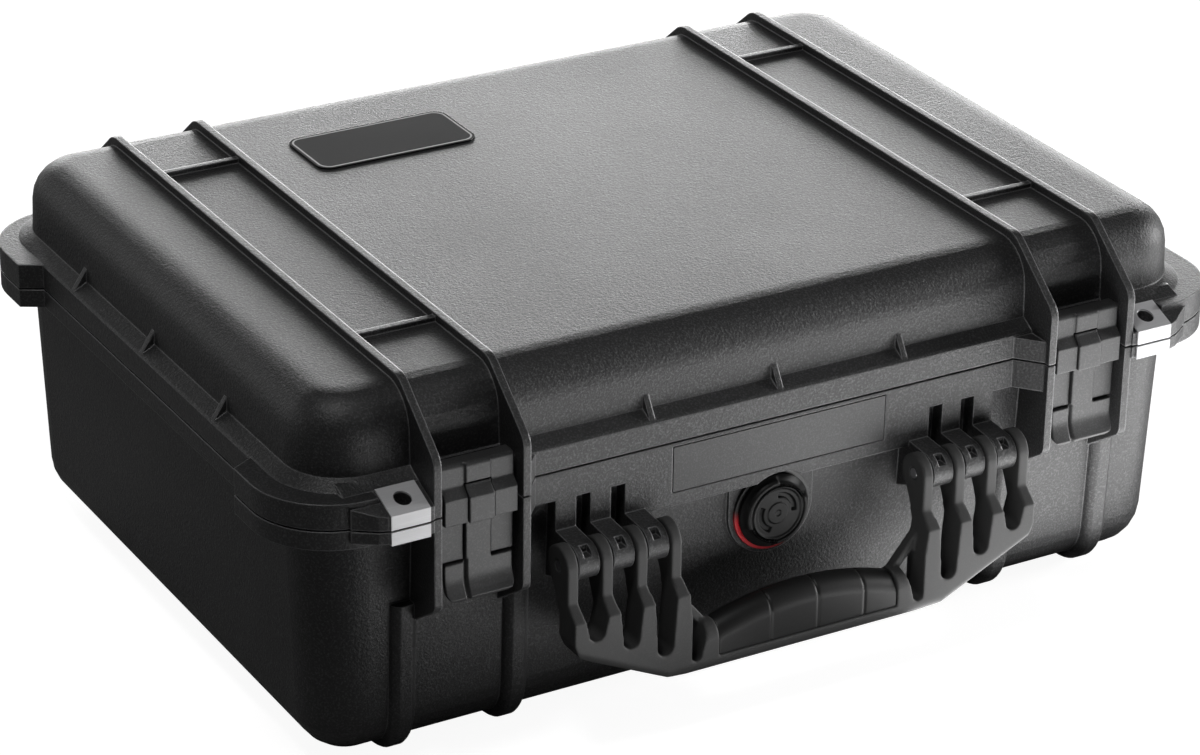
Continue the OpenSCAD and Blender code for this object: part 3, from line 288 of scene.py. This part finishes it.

# %% [markdown]
# One builder makes all the plastics and rubbers. It mixes two tones by the clouds, paints a
# highlight on the edges as a paler tone, varies the roughness and sets the grain as a bump on the
# softened normal. Specks raise the specular level as well, through a link that the export drops. The
# lock plates are greyer and far less metallic than real steel. That was meant to stop their fronts
# clipping under the lamps on the floor, and the right-hand fronts still clip to white.

# %% Plastic and metal finishes


def moulded(name, tone, rough, grain_scale=900.0, grain_depth=0.00006, coarse=0.5, edge_highlight_lift=1.6,
            rounding=0.0009, cloudiness=0.25, specular=0.5, speckle=0.6):
    """A moulded finish: tone times the clouds, paler on specks, with a painted highlight paler on edges; roughness
    follows both.
    """
    look = bpy.data.materials.new(name)
    look.use_nodes = True
    tree = look.node_tree
    shader = tree.nodes["Principled BSDF"]
    place = new_node(tree, "ShaderNodeTexCoord", (-1200, 0))
    texture = new_node(tree, "ShaderNodeGroup", (-900, 100), node_tree=grain)
    texture.inputs["Scale"].default_value = grain_scale
    texture.inputs["Coarse"].default_value = coarse
    edge_node = new_node(tree, "ShaderNodeGroup", (-900, -250), node_tree=edge)
    edge_node.inputs["Rounding"].default_value = rounding
    clouded = new_node(tree, "ShaderNodeMix", (-650, 300), data_type="RGBA")
    specked = new_node(tree, "ShaderNodeMix", (-450, 300), data_type="RGBA")
    painted_edge_highlight = new_node(tree, "ShaderNodeMix", (-250, 300), data_type="RGBA")
    clouded.inputs[6].default_value = (*[c * (1 - cloudiness) for c in tone], 1)
    clouded.inputs[7].default_value = (*[c * (1 + cloudiness) for c in tone], 1)
    specked.inputs[7].default_value = (*[c * (1 + 4 * speckle) for c in tone], 1)
    # Painted highlight: the edges get a paler tone, as if they caught the light.
    painted_edge_highlight.inputs[7].default_value = (*[c * edge_highlight_lift for c in tone], 1)
    gloss = new_node(tree, "ShaderNodeMapRange", (-500, 0))
    gloss.inputs["To Min"].default_value, gloss.inputs["To Max"].default_value = rough - 0.06, rough + 0.06
    smooth = new_node(tree, "ShaderNodeMath", (-250, 0), operation="MULTIPLY_ADD")
    smooth.inputs[1].default_value = -0.16
    bump = new_node(tree, "ShaderNodeBump", (-250, -250))
    bump.inputs["Strength"].default_value, bump.inputs["Distance"].default_value = 1.0, grain_depth
    shine = new_node(tree, "ShaderNodeMapRange", (-500, -500))
    shine.inputs["To Min"].default_value = specular * (1 - 0.35 * speckle)
    shine.inputs["To Max"].default_value = specular * (1 + 1.3 * speckle)
    join(tree,
         (place.outputs["Object"], texture.inputs["Place"]), (texture.outputs["Cloud"], clouded.inputs[0]),
         (texture.outputs["Speck"], specked.inputs[0]), (clouded.outputs[2], specked.inputs[6]),
         (specked.outputs[2], painted_edge_highlight.inputs[6]), (edge_node.outputs["Edge"], painted_edge_highlight.inputs[0]),
         (painted_edge_highlight.outputs[2], shader.inputs["Base Color"]), (texture.outputs["Cloud"], gloss.inputs["Value"]),
         (edge_node.outputs["Edge"], smooth.inputs[0]), (gloss.outputs[0], smooth.inputs[2]),
         (smooth.outputs[0], shader.inputs["Roughness"]), (texture.outputs["Height"], bump.inputs["Height"]),
         (texture.outputs["Speck"], shine.inputs["Value"]), (shine.outputs[0], shader.inputs["Specular IOR Level"]),
         (edge_node.outputs["Normal"], bump.inputs["Normal"]), (bump.outputs[0], shader.inputs["Normal"]))
    return look


def metal(name, tone, rough, stretch=(40, 900, 900), depth=0.00001, metallic=1.0):
    """Bare steel: the grain is stretched one way, like the marks of rolling or grinding."""
    # The 1.1 paints the edges a little paler, a painted highlight.
    look = moulded(name, tone, rough, 1.0, depth, 0.2, 1.1, 0.0003, 0.06, 0.5, 0.02)
    tree = look.node_tree
    tree.nodes["Principled BSDF"].inputs["Metallic"].default_value = metallic
    place = next(n for n in tree.nodes if n.type == "TEX_COORD")
    texture = next(n for n in tree.nodes if n.type == "GROUP" and n.node_tree == grain)
    pull = new_node(tree, "ShaderNodeMapping", (-1050, 200))
    pull.inputs["Scale"].default_value = stretch
    join(tree, (place.outputs["Object"], pull.inputs["Vector"]), (pull.outputs[0], texture.inputs["Place"]))
    return look


# In each finish the seventh argument paints its edges paler, a painted highlight.
looks = {
    "shell_plastic": moulded("shell_plastic", (0.020, 0.020, 0.0205), 0.46, 1050, 0.00036, 0.35, 9.0, 0.0012,
                             speckle=0.30),
    "latch_plastic": moulded("latch_plastic", (0.028, 0.028, 0.0285), 0.44, 1300, 0.00007, 0.3, 6.0, 0.0005,
                             speckle=0.15),
    "handle_plastic": moulded("handle_plastic", (0.036, 0.036, 0.036), 0.58, 1500, 0.00004, 0.3, 5.0, 0.0005,
                              specular=0.28, speckle=0.04),
    "grip_rubber": moulded("grip_rubber", (0.008, 0.008, 0.008), 0.46, 1500, 0.00002, 0.3, 1.6, 0.0004, 0.2, 0.28,
                           0.05),
    "seal_rubber": moulded("seal_rubber", (0.010, 0.010, 0.010), 0.6, 1500, 0.00002, 0.3, 1.1, 0.0004),
    "panel_plastic": moulded("panel_plastic", (0.024, 0.024, 0.0245), 0.47, 1300, 0.00007, 0.3, 1.4, 0.0003,
                             speckle=0.15),
    "label_film": moulded("label_film", (0.004, 0.004, 0.004), 0.10, 700, 0.000004, 0.3, 1.2, 0.0003, 0.1, 0.4, 0.0),
    "knob_plastic": moulded("knob_plastic", (0.006, 0.006, 0.006), 0.44, 1200, 0.00001, 0.3, 3.0, 0.0003, 0.2, 0.16,
                            0.05),
    "ring_red": moulded("ring_red", (0.50, 0.010, 0.018), 0.40, 1200, 0.00001, 0.3, 1.1, 0.0003, 0.1, 0.4, 0.0),
    "foam_grey": moulded("foam_grey", (0.060, 0.060, 0.063), 0.95, 700, 0.0008, 0.8, 1.0, 0.0015, 0.2, 0.1, 0.5),
    "pin_steel": metal("pin_steel", (0.55, 0.55, 0.57), 0.35),
    "plate_steel": metal("plate_steel", (0.52, 0.52, 0.53), 0.34, metallic=0.12),
}
print("finishes:", sorted(looks))

# %% [markdown]
# The label is a black glossy film with a thin pale line just inside its edge. The line needs no
# picture: a point lies on it where its distance from the edge of a rounded rectangle is within
# half the line's width. That distance is the length of what is left of the point's offset from
# the middle past the straight parts. The ring behind the knob is red only on its lower left.
# The lid's shoulders are broad rounds cut into narrow flats, so the softened normal reaches
# further there, and the flats run into one another in the shading. The mesh keeps its flats.

# %% Label line, ring colours and shoulders


def marked(look, centre, build):
    """Mixes a second colour into a finish where a mask, built from the offset from a centre, is 1."""
    tree = look.node_tree
    place = new_node(tree, "ShaderNodeTexCoord", (-1600, 700))
    offset = new_node(tree, "ShaderNodeVectorMath", (-1400, 700), operation="SUBTRACT")
    offset.inputs[1].default_value = centre
    split = new_node(tree, "ShaderNodeSeparateXYZ", (-1200, 700))
    join(tree, (place.outputs["Object"], offset.inputs[0]), (offset.outputs[0], split.inputs[0]))
    shader = tree.nodes["Principled BSDF"]
    under = shader.inputs["Base Color"].links[0].from_socket
    pick = new_node(tree, "ShaderNodeMix", (-50, 500), data_type="RGBA")
    mask, colour = build(tree, split.outputs)
    pick.inputs[7].default_value = (*colour, 1)
    join(tree, (mask, pick.inputs[0]), (under, pick.inputs[6]), (pick.outputs[2], shader.inputs["Base Color"]))


def keyline(tree, axes, corner=0.0058, inset=0.0017, width=0.0008):
    """1 on a line of the given width, set in from the label's edge."""
    low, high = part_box("lid_label")
    past = []
    for axis, half in (("X", (high[0] - low[0]) / 2), ("Y", (high[1] - low[1]) / 2)):
        out = sum_of(tree, (-1000, 700), "ABSOLUTE", axes[axis])
        over = sum_of(tree, (-900, 700), "SUBTRACT", out, half - inset - corner)
        past.append(sum_of(tree, (-850, 700), "MAXIMUM", over, 0.0))
    squares = [sum_of(tree, (-700, 700), "MULTIPLY", p, p) for p in past]
    reach = sum_of(tree, (-500, 700), "SQRT", sum_of(tree, (-600, 700), "ADD", *squares))
    off = sum_of(tree, (-300, 700), "ABSOLUTE", sum_of(tree, (-400, 700), "SUBTRACT", reach, corner))
    return ramp(tree, (-200, 700), width * 0.75, width * 0.35, off), (0.70, 0.70, 0.70)


def red_free(tree, axes, start=0.30, end=0.18):
    """1 where the direction from the valve's axis lies away from the lower left."""
    lean = sum_of(tree, (-900, 700), "ADD", sum_of(tree, (-1000, 700), "MULTIPLY", axes["X"], -0.62),
                  sum_of(tree, (-1000, 600), "MULTIPLY", axes["Z"], -0.78))
    return ramp(tree, (-200, 700), start * 0.05, end * 0.05, lean), (0.008, 0.008, 0.008)


def middle(node):
    """The middle of a part's box."""
    return tuple((a + b) / 2 for a, b in zip(*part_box(node)))


def broad_shoulders(look, pair_x=0.161, low=0.158, high=0.168, reach=0.0058):
    """Widens the softened normal above a height, but not near the two ribs either side of pair_x."""
    tree = look.node_tree
    edge_node = next(n for n in tree.nodes if n.type == "GROUP" and n.node_tree == edge)
    place = new_node(tree, "ShaderNodeTexCoord", (-1700, -400))
    split = new_node(tree, "ShaderNodeSeparateXYZ", (-1500, -400))
    join(tree, (place.outputs["Object"], split.inputs[0]))
    off = sum_of(tree, (-1200, -500), "SUBTRACT", sum_of(tree, (-1300, -500), "ABSOLUTE", split.outputs["X"]), pair_x)
    away = ramp(tree, (-1000, -500), 0.026, 0.032, sum_of(tree, (-1100, -500), "ABSOLUTE", off))
    up = ramp(tree, (-1000, -700), low, high, split.outputs["Z"])
    wide = sum_of(tree, (-900, -600), "MULTIPLY", away, up)
    rounding = edge_node.inputs["Rounding"].default_value
    join(tree, (sum_of(tree, (-800, -600), "MULTIPLY_ADD", wide, reach, rounding), edge_node.inputs["Rounding"]))


broad_shoulders(looks["shell_plastic"])
marked(looks["label_film"], middle("lid_label"), keyline)
marked(looks["ring_red"], middle("valve_ring"), red_free)
print("label middle, m:", [round(c, 4) for c in middle("lid_label")])

# %% [markdown]
# Each part of the frame names its material slot in the record, and gets the finish of that name.

# %% Finish every part of the frame
slot_of = {part["node"]: part["material_slot"] for part in frame["record"]["subparts"]}
for name, part in frame["nodes"].items():
    part.data.materials.clear()
    part.data.materials.append(looks[slot_of[name]])
print("parts finished:", len(slot_of))

# %% [markdown]
# The handle, the latches and the grip have soft moulded edges in real life, and the exact solids
# have sharp ones. A bevel would stumble over their many small corners, so a welded copy of each
# solid is cut into even cells by a voxel remesh and then relaxed, which turns every edge round.

# %% A softened copy of a part


def keep(name, mesh, body, look, *nodes):
    """Makes a shown piece of a mesh at the origin, gives it a finish and lets it ride on a body."""
    made = bpy.data.objects.new(name, mesh)
    scene.collection.objects.link(made)
    mesh.materials.clear()
    mesh.materials.append(looks[look])
    mesh.polygons.foreach_set("use_smooth", np.ones(len(mesh.polygons), bool))
    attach(made, body)
    if nodes:
        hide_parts(*nodes)
    return made


def softened(node, cell, rounds):
    """A mesh of a part's solid, welded, cut into cells of one size and relaxed a number of times."""
    welded = bmesh.new()
    welded.from_mesh(frame["nodes"][node].data)
    bmesh.ops.remove_doubles(welded, verts=welded.verts, dist=1e-6)
    mesh = bpy.data.meshes.new(node + "_welded")
    welded.to_mesh(mesh)
    welded.free()
    holder = bpy.data.objects.new("holder", mesh)
    scene.collection.objects.link(holder)
    cut = holder.modifiers.new("cells", "REMESH")
    cut.mode, cut.voxel_size = "VOXEL", cell
    relax = holder.modifiers.new("relax", "SMOOTH")
    relax.factor, relax.iterations = 0.5, rounds
    made = bpy.data.meshes.new_from_object(holder.evaluated_get(bpy.context.evaluated_depsgraph_get()))
    bpy.data.objects.remove(holder)
    print(node, "faces:", len(made.polygons))
    return made


def points_of(mesh):
    """The mesh's points as an array of rows of x, y and z."""
    flat = np.empty(3 * len(mesh.vertices))
    mesh.vertices.foreach_get("co", flat)
    return flat.reshape(-1, 3)


def set_points(mesh, points):
    """Writes moved points back to their mesh."""
    mesh.vertices.foreach_set("co", points.ravel())
    mesh.update()
    return mesh


def closed_mesh(name, points, faces):
    """A mesh of points and faces with all its normals turned outwards."""
    mesh = bpy.data.meshes.new(name)
    mesh.from_pydata(points.tolist(), [], faces)
    turned = bmesh.new()
    turned.from_mesh(mesh)
    bmesh.ops.recalc_face_normals(turned, faces=turned.faces)
    turned.to_mesh(mesh)
    turned.free()
    return mesh


def step_down(value, low, high):
    """1 below low, 0 above high, with a smooth slope between."""
    t = np.clip((value - low) / (high - low), 0, 1)
    return 1 - t * t * (3 - 2 * t)


def groove(value, middle, width, soft=0.0003):
    """1 inside a band of a width about a middle, 0 outside, with soft edges."""
    return step_down(np.abs(value - middle), width / 2 - soft, width / 2 + soft)


# %% [markdown]
# The handle's lower edge is rounder than a relaxed mesh makes it. Every point in the square zone
# beside that edge that lies outside a quarter circle is drawn back onto the circle. The edge is
# level in the middle and rises in a straight line towards each side, so heights are taken from it.

# %% Handle, grip and latches
LOW_Z, SLOPE_X, SLOPE, EDGE_R = 0.0283, 0.0682, math.tan(math.radians(25.5)), 0.0050


def rounded_foot(mesh):
    """Draws points near the lower front edge onto a circle of radius EDGE_R set in from both faces."""
    p = points_of(mesh)
    up = p[:, 2] - (LOW_Z + SLOPE * np.maximum(np.abs(p[:, 0]) - SLOPE_X, 0))
    back = p[:, 1] - p[:, 1].min()
    a, b = EDGE_R - up, EDGE_R - back
    reach = np.hypot(a, b)
    outside = (a > 0) & (b > 0) & (reach > EDGE_R)
    scale = np.where(outside, EDGE_R / np.maximum(reach, 1e-9), 1)
    p[:, 2] += np.where(outside, a * (1 - scale), 0)
    p[:, 1] += np.where(outside, b * (1 - scale), 0)
    return set_points(mesh, p)


keep("handle_frame_soft", rounded_foot(softened("handle_frame", 0.00065, 4)), "handle", "handle_plastic",
     "handle_frame")
keep("handle_grip_soft", softened("handle_grip", 0.0005, 3), "handle", "grip_rubber", "handle_grip")

STRIP_LEFT, TAB_TOP_Z, TAB_DEEP = -0.0064, 0.1072, 0.0020


def tab_groove(mesh, x_middle):
    """Sinks the lever's front along the left side of its strip, from the tab's top to its foot."""
    p = points_of(mesh)
    front = step_down(p[:, 1], p[:, 1].min() + 0.0085, p[:, 1].min() + 0.0100)
    line = groove(p[:, 0], x_middle + STRIP_LEFT, 0.0016, 0.0004) * step_down(p[:, 2], TAB_TOP_Z, TAB_TOP_Z + 0.001)
    p[:, 1] += TAB_DEEP * line * front
    return set_points(mesh, p)


for side in ("left", "right"):
    keep(f"latch_body_{side}_soft", softened(f"latch_body_{side}", 0.00038, 2), f"latch_{side}", "latch_plastic",
         f"latch_body_{side}")
    lever = tab_groove(softened(f"latch_lever_{side}", 0.00035, 3), middle(f"latch_lever_{side}")[0])
    keep(f"latch_lever_{side}_soft", lever, f"lever_{side}", "latch_plastic", f"latch_lever_{side}")

# %% [markdown]
# The valve's knob is turned work: one profile swept round the axis of the valve. Its face has a
# raised rim, a shallow dish, two curved finger grooves and a low boss in the middle. The height
# at each point is the profile's height less the grooves that lie at that radius and angle.

# %% Valve knob
VALVE_Z = sum(c[2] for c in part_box("valve_knob")) / 2
KNOB_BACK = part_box("valve_knob")[1][1]
KNOB_L, KNOB_TURNS = 0.0050, 144


def turned_mesh(name, radius, depth, y_of):
    """Joins rings of points about the valve's axis; radius and depth are arrays of rings by angles."""
    rings, turns = radius.shape
    angle = np.linspace(0, 2 * np.pi, turns, endpoint=False)[None, :]
    points = np.stack((radius * np.cos(angle), y_of - depth, VALVE_Z + radius * np.sin(angle)), -1).reshape(-1, 3)
    middle = len(points)
    ends = np.array([[0, y_of - depth[0].mean(), VALVE_Z], [0, y_of - depth[-1].mean(), VALVE_Z]])
    i, j = np.meshgrid(np.arange(rings - 1), np.arange(turns), indexing="ij")
    k = (j + 1) % turns
    quads = np.stack((i * turns + j, i * turns + k, (i + 1) * turns + k, (i + 1) * turns + j), -1).reshape(-1, 4)
    j = np.arange(turns)
    k = (j + 1) % turns
    first = np.stack((k, j, np.full(turns, middle)), -1)
    last = np.stack(((rings - 1) * turns + j, (rings - 1) * turns + k, np.full(turns, middle + 1)), -1)
    return closed_mesh(name, np.vstack((points, ends)), quads.tolist() + first.tolist() + last.tolist())


def knob_surface():
    """Out along the back, up the flange and its slope, then in over the face, in KNOB_TURNS steps of angle."""
    turns = KNOB_TURNS
    angle = np.linspace(0, 2 * np.pi, turns, endpoint=False)[None, :]
    side = np.array([(0.0045, 0.0002), (0.0160, 0.0), (0.0180, 0.0), (0.0184, 0.0004), (0.0184, 0.0012),
                     (0.0181, 0.0016), (0.0172, 0.0022), (0.0166, 0.0036), (0.0162, 0.0044), (0.0157, 0.0049)])
    face_r = np.linspace(0.0153, 0.0006, 60)
    face_l = KNOB_L - 0.0009 * groove(face_r, 0.0138, 0.0011, 0.0002) - 0.0006 * step_down(face_r, 0.0118, 0.0128)
    face_l += 0.0005 * step_down(face_r, 0.0050, 0.0056) - 0.0004 * groove(face_r, 0.0, 0.0030)
    radius = np.concatenate((side[:, 0], face_r))[:, None] * np.ones((1, turns))
    depth = np.concatenate((side[:, 1], face_l))[:, None] * np.ones((1, turns))
    arcs = np.maximum(groove(np.cos(angle - 0.75), 1.0, 0.60, 0.03), groove(np.cos(angle - 3.5), 1.0, 0.60, 0.03))
    depth = depth - 0.0014 * groove(radius, 0.0088, 0.0024) * arcs * (depth > 0.0035)
    notch = groove(np.cos(angle - 0.95), 1.0, 0.34, 0.02) + groove(np.cos(angle - 4.1), 1.0, 0.34, 0.02)
    radius = radius - 0.0016 * notch * ((radius > 0.0150) & (depth > 0.0018))
    return turned_mesh("valve_knob_turned", radius, depth, KNOB_BACK)


keep("valve_knob_turned", knob_surface(), "knob", "knob_plastic", "valve_knob")
print("knob axis height, m:", round(VALVE_Z, 4))

# %% [markdown]
# Foam is cut from a soft block, so its edges are a little round and its faces are covered with
# open cells. The pad and the tray are softened copies of their solids. The foam in the lid is
# convoluted: its lower face rises and falls like an egg box, so it presses gently on the contents.

# %% Foam pad and tray
for node, cell in (("foam_pad", 0.0025), ("foam_insert", 0.0028)):
    keep(node + "_soft", softened(node, cell, 6), "base", "foam_grey", node)

# %% Convoluted lid foam
WAVE_PITCH, WAVE_DEEP = 0.032, 0.013


def rounded_outline(half_x, half_y, corner, steps):
    """Points round a rectangle with round corners, evenly spaced along its edge, as x and y arrays."""
    arc = np.linspace(0, np.pi / 2, 24)
    x, y = [], []
    for turn, cx, cy in ((0, 1, 1), (1, -1, 1), (2, -1, -1), (3, 1, -1)):
        x.append(cx * (half_x - corner) + corner * np.cos(arc + turn * np.pi / 2))
        y.append(cy * (half_y - corner) + corner * np.sin(arc + turn * np.pi / 2))
    x, y = np.append(np.concatenate(x), x[0][0]), np.append(np.concatenate(y), y[0][0])
    length = np.append(0, np.cumsum(np.hypot(np.diff(x), np.diff(y))))
    at = np.linspace(0, length[-1], steps, endpoint=False)
    return np.interp(at, length, x), np.interp(at, length, y)


def lid_foam_surface(low, high, corner=0.030, edge=0.004, steps=480, rings=100):
    """Rings shrink from the outline to the middle below, waves lower or raise them, and a plain top closes it."""
    cx, cy = (low[0] + high[0]) / 2, (low[1] + high[1]) / 2
    x, y = rounded_outline((high[0] - low[0]) / 2, (high[1] - low[1]) / 2, corner, steps)
    shrink = np.linspace(0.004, 1.0, rings)[:, None]
    xs, ys = shrink * x[None, :], shrink * y[None, :]
    wave = 0.5 + 0.5 * np.sin(2 * np.pi * xs / WAVE_PITCH) * np.sin(2 * np.pi * ys / WAVE_PITCH)
    fade = step_down(shrink, 0.93, 0.99)
    lift = WAVE_DEEP * (wave * fade + 0.4 * (1 - fade)) + edge * (1 - step_down(shrink, 0.985, 1.0)) ** 2
    below = np.stack((cx + xs, cy + ys, low[2] + lift), -1)
    inset = np.array([1.0, 1.0, 0.997, 0.985, 0.7, 0.4, 0.1, 0.004])[:, None]
    drop = np.array([0.010, edge, 0.0012, 0.0, 0.0, 0.0, 0.0, 0.0])[:, None] * np.ones((1, steps))
    above = np.stack((cx + inset * x[None, :], cy + inset * y[None, :], high[2] - drop), -1)
    points = np.concatenate((below, above)).reshape(-1, 3)
    rows = rings + len(inset)
    i, j = np.meshgrid(np.arange(rows - 1), np.arange(steps), indexing="ij")
    k = (j + 1) % steps
    quads = np.stack((i * steps + j, (i + 1) * steps + j, (i + 1) * steps + k, i * steps + k), -1).reshape(-1, 4)
    caps = [list(range(steps)), list(range((rows - 1) * steps, rows * steps))[::-1]]
    return closed_mesh("foam_lid_convoluted", points, quads.tolist() + caps)


lid_foam = keep("foam_lid_convoluted", lid_foam_surface(*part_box("foam_lid")), "lid", "foam_grey", "foam_lid")
print("lid foam faces:", len(lid_foam.data.polygons))
